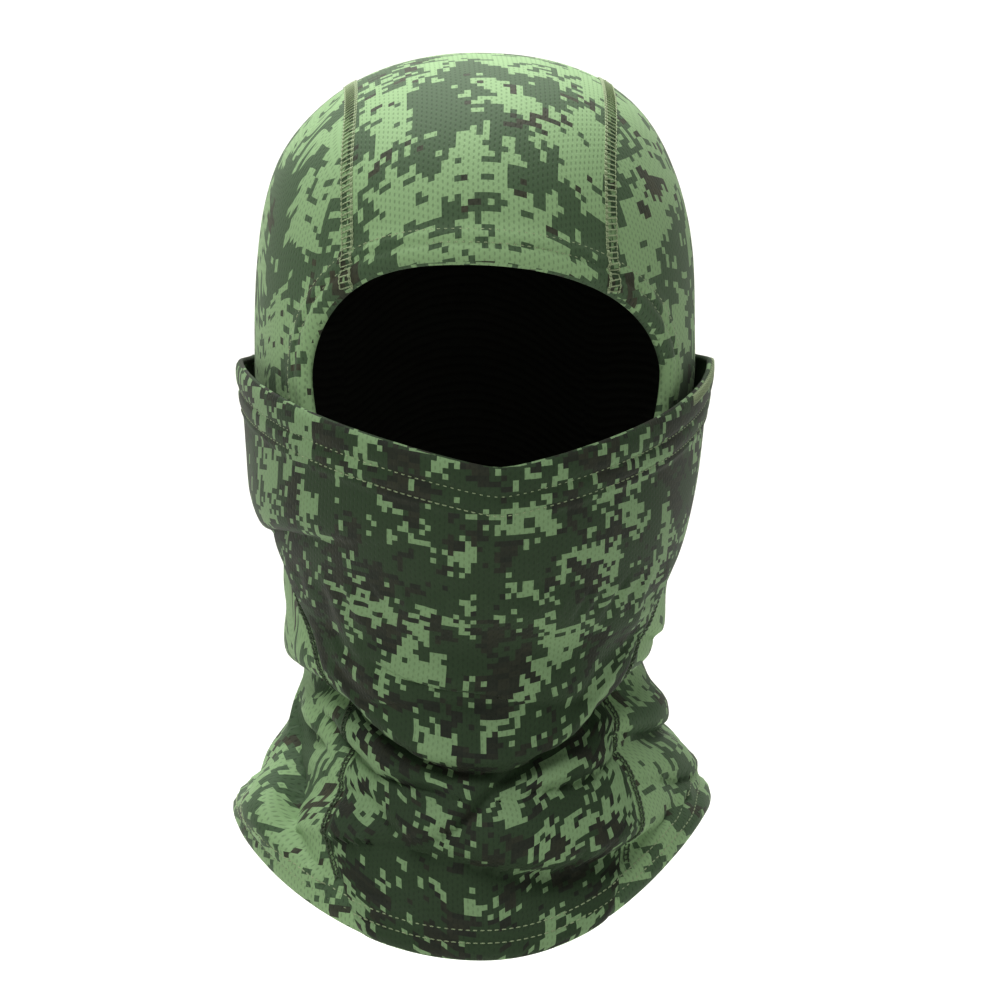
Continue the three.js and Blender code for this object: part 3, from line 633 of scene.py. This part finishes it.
for side, sign in (("right", -1), ("left", 1)):
    top = crown_peak(np.array(float(sign * CROWN_HALF_WIDTH))) - 0.02
    share = np.linspace(0, 1, SIDE_ROWS + 1)[:, None]
    share = 1 - (1 - share) ** 1.25
    column = np.linspace(0, 1, SIDE_COLUMNS + 1)[None, :]
    level = -170 + (top + 170) * share + 0 * column
    for _ in range(8):
        rear = math.pi - angle_at(sign * CROWN_HALF_WIDTH, level) * sign
        around = side_front(level, sign) * (1 - column) + rear * column
        level = bottom_edge(sign * around) * (1 - share) + top * share
    angle = sign * around
    if sign < 0:
        angle, level = angle[:, ::-1], level[:, ::-1]
    smooth = head_point(angle, level)
    points = smooth + grid_out(smooth) * hood_relief(angle, level)[..., None]
    flat = side_flat(smooth, points, angle, level, sign)
    panel = make_cloth("side_panel_cloth_" + side, points, flat, hood_knit, brushed_back)
    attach(panel, "hood")
    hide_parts("side_panel_" + side)


def hood_skin(angle, level, lift=0.0):
    """Points on the hood's finished surface, and the outward direction there."""
    def shaped(a, z):
        base = head_point(a, z)
        out = outward(head_point(a + 0.01, z) - head_point(a - 0.01, z),
                      head_point(a, z + 0.4) - head_point(a, z - 0.4))
        return base + out * (hood_relief(a, z) + lift)[..., None]
    out = outward(shaped(angle + 0.008, level) - shaped(angle - 0.008, level),
                  shaped(angle, level + 0.5) - shaped(angle, level - 0.5))
    return shaped(angle, level), out


# ---- Chin panel -----------------------------------------------------------------------------------------
# The inner layer under the front cloth, from the chin to the breast. Plain brushed jersey, dark on both faces;
# its sides are caught in the seams of the front cloth.
CHIN_COLUMNS = 90
CHIN_ROWS = 70
INNER_GAP = 1.6

column = np.linspace(-1, 1, CHIN_COLUMNS + 1)[None, :]
share = np.linspace(0, 1, CHIN_ROWS + 1)[:, None]
level = -150 + 80 * share + 0 * column
for _ in range(8):
    angle = column * np.minimum(front_cloth_edge(level) + math.radians(4), math.radians(76))
    low_turns = np.linspace(-math.pi + 0.05, -0.05, 200)
    low_angles, low_levels = opening_line(low_turns)
    chin_top = np.minimum(np.interp(angle, low_angles, low_levels), -58)
    level = (bottom_edge(angle) + 3) * (1 - share) + chin_top * share
chin_points = head_point(angle, level, -INNER_GAP, -INNER_GAP)
chin_relief = np.minimum(neck_folds(angle, level), 0) * ease(-66, -84, level)
chin_relief = chin_relief * ease(2, 16, level - bottom_edge(angle))
chin_points = chin_points + grid_out(chin_points) * chin_relief[..., None]
chin_flat = lay_flat(chin_points, CHIN_COLUMNS // 2, CHIN_ROWS // 2)
chin = make_cloth("chin_panel_cloth", chin_points, chin_flat, brushed_back, brushed_back)
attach(chin, "hood")
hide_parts("chin_panel")

# ---- Face opening: hem and stitches ---------------------------------------------------------------------
# The edge of the opening is folded in once and held by two rows of a twin-needle machine. The fold is round,
# and the turned-in layer lies against the back of the cloth.
FOLD_RADIUS = 1.1
FOLD_STEPS = 6


def make_fold(name, edge, out, away, inner, flat_edge, flat_away, face, back):
    """A folded edge: round the edge from face to back, then along the inner rows of points."""
    rows, flats = [], []
    for i in range(FOLD_STEPS + 1):
        turn = math.pi * i / FOLD_STEPS
        rows.append(edge + FOLD_RADIUS * (math.sin(turn) * away + (math.cos(turn) - 1) * out))
        flats.append(flat_edge + flat_away * FOLD_RADIUS * turn)
    for i, row in enumerate(inner):
        rows.append(row)
        flats.append(flat_edge + flat_away * (FOLD_RADIUS * math.pi + 4.0 * (i + 1)))
    points = np.array(rows)[::-1]
    return make_cloth(name, points, np.array(flats)[::-1], face, back, 0.5)


turns = np.linspace(-math.pi, math.pi, 241)[::-1]
edge_angle, edge_level = opening_line(turns)
edge, edge_out = hood_skin(edge_angle, edge_level)
in_angle, in_level = opening_line(turns, 2.0)
cloth_side, _ = hood_skin(in_angle, in_level)
away = edge - cloth_side
away /= np.linalg.norm(away, axis=-1, keepdims=True)
inner_rows = []
for distance in (2.0, 5.0, 8.5, 12.5):
    angle, level = opening_line(turns, distance)
    spot, out = hood_skin(angle, level)
    inner_rows.append(spot - out * 2 * FOLD_RADIUS)
flat_edge = np.stack([edge_angle * FACE_RADIUS, edge_level], axis=-1)
flat_away = -np.stack([(in_angle - edge_angle) * FACE_RADIUS, in_level - edge_level], axis=-1) / 2.0
face_hem = make_fold("face_hem_cloth", edge, edge_out, away, inner_rows, flat_edge, flat_away,
                     hood_knit, brushed_back)
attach(face_hem, "hood")
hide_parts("face_hem")

# Spun polyester thread: two twisted plies with a dull gloss. The plies are drawn coarser than real ones.
def spun_thread(name, in_shadow, in_light):
    material, tree = new_material(name)
    place = add_node(tree, "ShaderNodeTexCoord").outputs["Object"]
    plies = add_node(tree, "ShaderNodeTexWave", {"Vector": place, "Scale": 900.0, "Distortion": 2.0},
                     bands_direction="DIAGONAL").outputs["Fac"]
    colour = add_node(tree, "ShaderNodeMix", {"Factor": plies, "A": linear(in_shadow), "B": linear(in_light)},
                      data_type="RGBA").outputs[2]
    bump = add_node(tree, "ShaderNodeBump", {"Height": plies, "Strength": 0.3, "Distance": 0.0001}).outputs[0]
    surface = add_node(tree, "ShaderNodeBsdfPrincipled", {
        "Base Color": colour, "Roughness": 0.6, "Specular IOR Level": 0.3, "Sheen Weight": 0.1, "Normal": bump})
    add_node(tree, "ShaderNodeOutputMaterial", {"Surface": surface.outputs[0]})
    return material


sewing_thread = spun_thread("spun_polyester_thread", "#72855F", "#A5B48C")

THREAD_SIDES = 5


def make_threads(name, lines, outs, radius, thread):
    """Short round threads, one along each line of points, that lie on the cloth."""
    along = np.gradient(lines, axis=1)
    along /= np.maximum(np.linalg.norm(along, axis=-1, keepdims=True), 1e-9)
    side = np.cross(along, outs)
    side /= np.maximum(np.linalg.norm(side, axis=-1, keepdims=True), 1e-9)
    up = np.cross(side, along)
    turn = np.linspace(0, 2 * math.pi, THREAD_SIDES, endpoint=False)
    rings = (lines[:, :, None, :] + radius * (np.cos(turn)[:, None] * side[:, :, None, :]
                                              + np.sin(turn)[:, None] * up[:, :, None, :]))
    count, steps = lines.shape[:2]
    index = np.arange(count * steps * THREAD_SIDES).reshape(count, steps, THREAD_SIDES)
    turned = np.roll(index, -1, axis=2)
    walls = np.stack([index[:, :-1], index[:, 1:], turned[:, 1:], turned[:, :-1]], axis=-1).reshape(-1, 4)
    ends = np.concatenate([index[:, 0, :], index[:, -1, ::-1]])
    mesh = bpy.data.meshes.new(name)
    mesh.from_pydata((rings.reshape(-1, 3) * MM).tolist(), [], walls.tolist() + ends.tolist())
    mesh.materials.append(thread)
    mesh.shade_smooth()
    piece = bpy.data.objects.new(name, mesh)
    bpy.context.scene.collection.objects.link(piece)
    return piece


def resample(points, outs, at):
    """Points and outward directions at distances along a line."""
    steps = np.linalg.norm(np.diff(points, axis=0), axis=-1)
    run = np.concatenate([[0], np.cumsum(steps)])
    spots = np.stack([np.interp(at, run, points[:, k]) for k in range(3)], axis=-1)
    ways = np.stack([np.interp(at, run, outs[:, k]) for k in range(3)], axis=-1)
    return spots, ways / np.linalg.norm(ways, axis=-1, keepdims=True)


def length_of(points):
    return float(np.linalg.norm(np.diff(points, axis=0), axis=-1).sum())


STITCH = 2.6
STITCH_GAP = 0.7
THREAD_RADIUS = 0.24


def stitch_row(name, points, outs, radius=THREAD_RADIUS):
    """A row of lockstitches: each lies on the cloth and dips into it at both ends."""
    count = int(length_of(points) / STITCH)
    starts = (np.arange(count) + 0.5) * length_of(points) / count
    reach = np.linspace(-0.5, 0.5, 5) * (STITCH - STITCH_GAP)
    spots, ways = resample(points, outs, starts[:, None] + reach[None, :])
    dip = np.array([-0.25, 0.12, 0.2, 0.12, -0.25])
    return make_threads(name, spots + ways * dip[None, :, None], ways, radius, sewing_thread)


for row, distance in zip(("inner", "outer"), FACE_STITCH_ROWS):
    turns = np.linspace(-0.92, math.pi + 0.92, 300)
    angle, level = opening_line(turns, distance)
    points, outs = hood_skin(angle, level)
    stitches = stitch_row("face_hem_stitching_" + row, points, outs)
    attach(stitches, "hood")
    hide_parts("face_hem_stitch_" + row)

# ---- Crown seams ----------------------------------------------------------------------------------------
# Flatlock seams: the two cut edges lie edge to edge, and a ladder of thread covers them. One side of the
# ladder carries the denser column of loops.
SEAM_HALF_WIDTH = 2.7
RUNG_STEP = 2.1


def ladder_seam(name, points, outs, loops_side, half_width, thread):
    """A flatlock's cover threads: rungs across the seam, and a column of loops along each side."""
    length = length_of(points)
    count = int(length / RUNG_STEP)
    at = (np.arange(count) + 0.5) * length / count
    across_steps = np.linspace(-1, 1, 7)
    slant = across_steps * 0.45
    spots, ways = resample(points, outs, at[:, None] + slant[None, :])
    ahead, _ = resample(points, outs, at[:, None] + slant[None, :] + 0.3)
    run = ahead - spots
    run /= np.maximum(np.linalg.norm(run, axis=-1, keepdims=True), 1e-9)
    side = np.cross(run, ways)
    height = np.array([-0.2, 0.22, 0.3, 0.32, 0.3, 0.22, -0.2])
    rungs = spots + side * (across_steps * half_width)[None, :, None] + ways * height[None, :, None]
    parts = [(rungs, ways)]
    for edge_share, rise in ((loops_side * 0.98, 0.3), (loops_side * 0.72, 0.36), (-loops_side * 0.9, 0.28)):
        reach = np.linspace(-0.5, 0.5, 7) * (RUNG_STEP - 0.25)
        spots, ways = resample(points, outs, at[:, None] + reach[None, :])
        ahead, _ = resample(points, outs, at[:, None] + reach[None, :] + 0.3)
        run = ahead - spots
        run /= np.maximum(np.linalg.norm(run, axis=-1, keepdims=True), 1e-9)
        side = np.cross(run, ways)
        height = np.array([-0.2, 0.1, 0.22, rise, 0.22, 0.1, -0.2])
        loops = spots + side * edge_share * half_width + ways * height[None, :, None]
        parts.append((loops, ways))
    lines = np.concatenate([p[0] for p in parts])
    ways = np.concatenate([p[1] for p in parts])
    return make_threads(name, lines, ways, 0.26, thread)


for side, sign in (("right", -1), ("left", 1)):
    peak_level = crown_peak(np.array(float(sign * CROWN_HALF_WIDTH))) - 0.01
    column = 0 if sign < 0 else CROWN_COLUMNS
    start_level, end_level = front_level[column], rear_level[column]
    turn = np.concatenate([np.linspace(-1, 0, 120, endpoint=False), np.linspace(0, 1, 240)])
    level = np.where(turn < 0, start_level, end_level)
    level = level + (peak_level - level) * np.cos(turn * math.pi / 2)
    angle = angle_at(np.full(turn.shape, float(sign * CROWN_HALF_WIDTH)), level)
    angle = np.where(turn < 0, angle, sign * math.pi - angle)
    points, outs = hood_skin(angle, level)
    seam = ladder_seam("crown_seam_threads_" + side, points, outs, -sign, SEAM_HALF_WIDTH, sewing_thread)
    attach(seam, "hood")
    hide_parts("crown_seam_" + side)

# ---- Front cloth: mask and bib --------------------------------------------------------------------------
# One outer layer from the nose to the breast, sewn to the side panels along both edges. Its top pulls down
# under the chin; below the jaw it gathers in soft rolls and hangs as a bib.
FRONT_COLUMNS = 230
CHEEK_RADIUS = 80  # turns an angle at the cheek into a length along the cloth
CLOTH_ROWS = 150
MASK_HEM = 19
MASK_STITCH_ROWS = (10, 17)
EDGE_DROP = 28.5  # the top edge below the ear line, at the nose
EDGE_NOSE = math.radians(4)
EDGE_ROUND = 0.06  # how softly it turns at the nose, in radians
EDGE_REACH_LEFT, EDGE_POWER_LEFT = math.radians(76), 0.9
EDGE_REACH_RIGHT, EDGE_POWER_RIGHT = math.radians(86), 1.15
LIFT_LEVELS = np.array([-210.0, -92, -78, -62, -46, -24, 0])
SIDE_LIFTS = np.array([1.7, 1.7, 2.6, 4.2, 5.0, 5.4, 6.0])
FRONT_LIFTS = np.array([1.7, 1.7, 2.4, 4.5, 7.0, 11.0, 12.0])
CHEEK_FOLD = ((-95, -66), (-40, -58), -2, 1.5, 4)


def mask_top(angle):
    """Level of the front cloth's top edge, from ear to nose to ear."""
    aside = angle - EDGE_NOSE
    away = np.sqrt(aside ** 2 + EDGE_ROUND ** 2) - EDGE_ROUND
    reach = np.where(aside > 0, EDGE_REACH_LEFT, EDGE_REACH_RIGHT)
    power = np.where(aside > 0, EDGE_POWER_LEFT, EDGE_POWER_RIGHT)
    return -EDGE_DROP * np.clip(1 - away / reach, 0, 1) ** power


def front_base(angle, level):
    side_lift = smooth_along(LIFT_LEVELS, SIDE_LIFTS, level)
    front_lift = smooth_along(LIFT_LEVELS, FRONT_LIFTS, level)
    sewn_down = ease(math.radians(86), math.radians(96), np.abs(angle)) * ease(-66, -50, level)
    side_lift = side_lift - (side_lift - 1.6) * sewn_down
    return head_point(angle, level, side_lift, front_lift)


def front_relief(angle, level):
    """Hems, folds and wrinkles of the front cloth, in millimetres outwards."""
    angle, level = angle + 0 * level, level + 0 * angle
    relief = hem_relief(mask_top(angle) - level, MASK_HEM, MASK_STITCH_ROWS, 0.5)
    relief = relief + hem_relief(level - bottom_edge(angle), BOTTOM_HEM, BOTTOM_STITCH_ROWS, 0.5)
    on_neck = ease(-62, -80, level) * ease(2, 16, level - bottom_edge(angle))
    places = head_point(angle, level)
    relief = relief + on_neck * (neck_folds(angle, level) + 0.7 * cloudy(places * (1, 1, 1.6), 17, 3.7))
    signed, depth = signed_distance(angle, level, hanging_line(*CHEEK_FOLD))
    up = np.maximum(signed, 0) / 8
    sharp = np.where(signed > 0, 1.5, 5.0)
    relief = relief + depth * (0.4 * up * np.exp(1 - up) - 0.8 * np.exp(-np.abs(signed) / sharp))
    from_seam = (front_cloth_edge(level) - np.abs(angle)) * CHEEK_RADIUS
    relief = relief - 1.3 * np.exp(-np.maximum(from_seam, 0) / 1.6) * ease(-60, -78, level)
    return relief + 0.35 * cloudy(places, 26, 5.3) * ease(4, 20, mask_top(angle) - level)


def front_skin(angle, level, lift=0.0):
    """Points on the front cloth's finished surface, and the outward direction there."""
    def shaped(a, z):
        out = outward(front_base(a + 0.01, z) - front_base(a - 0.01, z),
                      front_base(a, z + 0.4) - front_base(a, z - 0.4))
        return front_base(a, z) + out * (front_relief(a, z) + lift)[..., None]
    out = outward(shaped(angle + 0.008, level) - shaped(angle - 0.008, level),
                  shaped(angle, level + 0.5) - shaped(angle, level - 0.5))
    return shaped(angle, level), out


# The front cloth is the hood's printed jersey with darker colours: the darkening is painted shade for the front
# of the face, which takes less light.
shaded_mask_knit = printed_jersey("printed_jersey_mask_shaded", "#708E63", "#7A986C", "#24381F", "#26291B", "#151C11",
                           0.53, 0.545, 0.8, FRONT_PRINT_SQUARE)

column = np.linspace(-1, 1, FRONT_COLUMNS + 1)[None, :]
share = np.linspace(0, 1, CLOTH_ROWS + 1)[:, None]
level = -170 + 150 * share + 0 * column
for _ in range(8):
    angle = column * front_cloth_edge(level)
    level = bottom_edge(angle) * (1 - share) + mask_top(angle) * share
front_points, _ = front_skin(angle, level)


def settle(points, held, frames=22):
    """Lets slack cloth find its own wrinkles: a cloth simulation of a grid with some points held."""
    rows, columns = points.shape[:2]
    grid = np.arange(rows * columns).reshape(rows, columns)
    quads = np.stack([grid[:-1, :-1], grid[:-1, 1:], grid[1:, 1:], grid[1:, :-1]], axis=-1).reshape(-1, 4)
    mesh = bpy.data.meshes.new("slack_cloth")
    mesh.from_pydata((points.reshape(-1, 3) * MM * 10).tolist(), [], quads.tolist())
    slack = bpy.data.objects.new("slack_cloth", mesh)
    bpy.context.scene.collection.objects.link(slack)
    pins = slack.vertex_groups.new(name="held")
    for weight in np.unique(np.round(held, 1)):
        members = np.flatnonzero(np.round(held.ravel(), 1) == weight)
        pins.add(members.tolist(), float(weight), "REPLACE")
    cloth = slack.modifiers.new("cloth", "CLOTH")
    cloth.settings.quality = 6
    cloth.settings.mass = 0.15
    cloth.settings.tension_stiffness = 12
    cloth.settings.compression_stiffness = 12
    cloth.settings.shear_stiffness = 6
    cloth.settings.bending_stiffness = 0.25
    cloth.settings.vertex_group_mass = "held"
    cloth.settings.shrink_min = -0.05
    cloth.settings.effector_weights.gravity = 0.2
    for frame_number in range(1, frames + 1):
        bpy.context.scene.frame_set(frame_number)
    settled = slack.evaluated_get(bpy.context.evaluated_depsgraph_get()).to_mesh()
    moved = np.empty(rows * columns * 3, dtype=np.float32)
    settled.vertices.foreach_get("co", moved)
    bpy.context.scene.frame_set(1)
    bpy.data.objects.remove(slack)
    return moved.reshape(points.shape).astype(float) / (MM * 10)


# The neck of the front cloth is slack: it settles on a coarse grid, and the finished cloth takes its wrinkles.
COARSE = 2
coarse = front_points[::COARSE, ::COARSE]
coarse_angle, coarse_level = angle[::COARSE, ::COARSE], level[::COARSE, ::COARSE]
free = ease(-66, -80, coarse_level) * ease(15, 22, coarse_level - bottom_edge(coarse_angle))
free = free * ease(3, 12, (front_cloth_edge(coarse_level) - np.abs(coarse_angle)) * CHEEK_RADIUS)
settled = settle(coarse, 1 - free)
out = grid_out(coarse)
wrinkle = np.clip(((settled - coarse) * out).sum(axis=-1), -0.9, 3.0) * free
across = np.linspace(0, wrinkle.shape[1] - 1, front_points.shape[1])
down = np.linspace(0, wrinkle.shape[0] - 1, front_points.shape[0])
wide = np.array([np.interp(across, np.arange(wrinkle.shape[1]), row) for row in wrinkle])
full = np.array([np.interp(down, np.arange(wrinkle.shape[0]), line) for line in wide.T]).T
full = even_out(even_out(full, 0, 2), 1, 2)
front_points = front_points + grid_out(front_points) * full[..., None]

front_flat = lay_flat(front_points, FRONT_COLUMNS // 2, CLOTH_ROWS // 2) + (40, 900)
front_cloth = make_cloth("front_cloth", front_points, front_flat, shaded_mask_knit, brushed_back)
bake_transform(front_cloth)
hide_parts("mask_panel", "bib_panel")

# ---- Mask hem and its stitches --------------------------------------------------------------------------
# The front cloth's top edge, folded to the back and held by two rows of stitches.
rear = front_cloth_edge(np.array(0.0))
edge_angle = np.linspace(float(rear), -float(rear), 200)
edge, edge_out = front_skin(edge_angle, mask_top(edge_angle))
below, _ = front_skin(edge_angle, mask_top(edge_angle) - 1.5)
away = edge - below
away /= np.linalg.norm(away, axis=-1, keepdims=True)
inner_rows = []
for distance in (2.0, 7.0, 13.0, 19.0):
    spot, out = front_skin(edge_angle, mask_top(edge_angle) - distance)
    inner_rows.append(spot - out * 2 * FOLD_RADIUS)
flat_edge = np.stack([edge_angle * 105 + 40, mask_top(edge_angle) + 1000], axis=-1)
flat_away = np.stack([0 * edge_angle, 0 * edge_angle + 1], axis=-1)
mask_hem = make_fold("mask_hem_cloth", edge, edge_out, away, inner_rows, flat_edge, flat_away,
                     shaded_mask_knit, brushed_back)
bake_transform(mask_hem)
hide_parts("mask_hem")

for row, distance in zip(("upper", "lower"), MASK_STITCH_ROWS):
    reach = float(front_cloth_edge(np.array(-float(distance)))) - math.radians(1.5)
    angle = np.linspace(-reach, reach, 300)
    points, outs = front_skin(angle, mask_top(angle) - distance)
    stitches = stitch_row("mask_hem_stitching_" + row, points, outs)
    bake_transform(stitches)
    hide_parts("mask_hem_stitch_" + row)

# Overlock thread wraps the hem's raw end at the wearer's left ear.
wrap_angle = np.linspace(math.radians(62), math.radians(94), 300)
wrap_points, wrap_outs = front_skin(wrap_angle, mask_top(wrap_angle) - 0.6)
wrap_count = int(length_of(wrap_points) / 1.3)
wrap_at = (np.arange(wrap_count) + 0.5) * length_of(wrap_points) / wrap_count
wrap_lean = np.linspace(-0.5, 0.5, 9)
spots, ways = resample(wrap_points, wrap_outs, wrap_at[:, None] + wrap_lean[None, :])
wrap_over = np.linspace(-3.2, 1.6, 9)
wrap_up = np.minimum(wrap_over, 1.1 - 0.4 * np.abs(wrap_over))
wrap_rise = 0.35 - 2.2 * ease(0.2, 1.6, wrap_over)
lines = spots + np.array([0, 0, 1.0]) * wrap_up[None, :, None] + ways * wrap_rise[None, :, None]
ear_overlock = make_threads("ear_overlock_threads", lines, ways, 0.3, sewing_thread)
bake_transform(ear_overlock)

# ---- Seams along the front cloth ------------------------------------------------------------------------
# Narrow overlock down both edges of the front cloth, in dark green thread that sinks between the two cloths:
# beside the cheek above the jaw, and beside the bib below it.
OVERLOCK_HALF_WIDTH = 0.9
overlock_thread = spun_thread("overlock_polyester_thread", "#26341F", "#44563A")

for side, sign in (("right", -1), ("left", 1)):
    for part, high, low in (("mask_side_seam_", -4, -66), ("bib_seam_", -70, -180)):
        level = np.linspace(low, high, 160)
        angle = sign * (front_cloth_edge(level) + math.radians(1.5))
        if part == "bib_seam_":
            floor = bottom_edge(angle) + BOTTOM_HEM + 1
            level = np.linspace(float(floor.min()), high, 160)
            level = np.maximum(level, bottom_edge(sign * front_cloth_edge(level)) + BOTTOM_HEM + 1)
            angle = sign * (front_cloth_edge(level) + math.radians(1.5))
        points, outs = hood_skin(angle, level, 0.3)
        seam = ladder_seam(part + "threads_" + side, points, outs, sign, OVERLOCK_HALF_WIDTH, overlock_thread)
        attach(seam, "hood")
        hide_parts(part + side)

# ---- Bottom hem and its stitches ------------------------------------------------------------------------
# The bottom edge goes right round the shoulders: folded to the back, two rows of stitches.
ring = np.linspace(math.pi, -math.pi, 361)


def bottom_skin(angle, distance):
    """Points and outward directions on whichever cloth is outermost at a distance above the bottom edge."""
    level = bottom_edge(angle) + distance
    hood_points, hood_outs = hood_skin(angle, level)
    cloth_points, cloth_outs = front_skin(angle, level)
    covered = (np.abs(angle) < front_cloth_edge(level))[:, None]
    return np.where(covered, cloth_points, hood_points), np.where(covered, cloth_outs, hood_outs)


edge, edge_out = bottom_skin(ring, 0.0)
above, _ = bottom_skin(ring, 1.5)
away = edge - above
away /= np.linalg.norm(away, axis=-1, keepdims=True)
inner_rows = []
for distance in (2.0, 5.0, 9.0, 13.0):
    spot, out = hood_skin(ring, bottom_edge(ring) + distance)
    inner_rows.append(spot - out * 2 * FOLD_RADIUS)
flat_edge = np.stack([ring * 92, bottom_edge(ring) + 300], axis=-1)
flat_away = -np.stack([0 * ring, 0 * ring + 1], axis=-1)
bottom_hem = make_fold("bottom_hem_cloth", edge[::-1], edge_out[::-1], away[::-1],
                       [row[::-1] for row in inner_rows], flat_edge[::-1], flat_away[::-1],
                       hood_knit, brushed_back)
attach(bottom_hem, "hood")
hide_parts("bottom_hem")

for row, distance in zip(("lower", "upper"), BOTTOM_STITCH_ROWS):
    points, outs = bottom_skin(ring, distance)
    stitches = stitch_row("bottom_hem_stitching_" + row, points, outs)
    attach(stitches, "hood")
    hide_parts("bottom_hem_stitch_" + row)
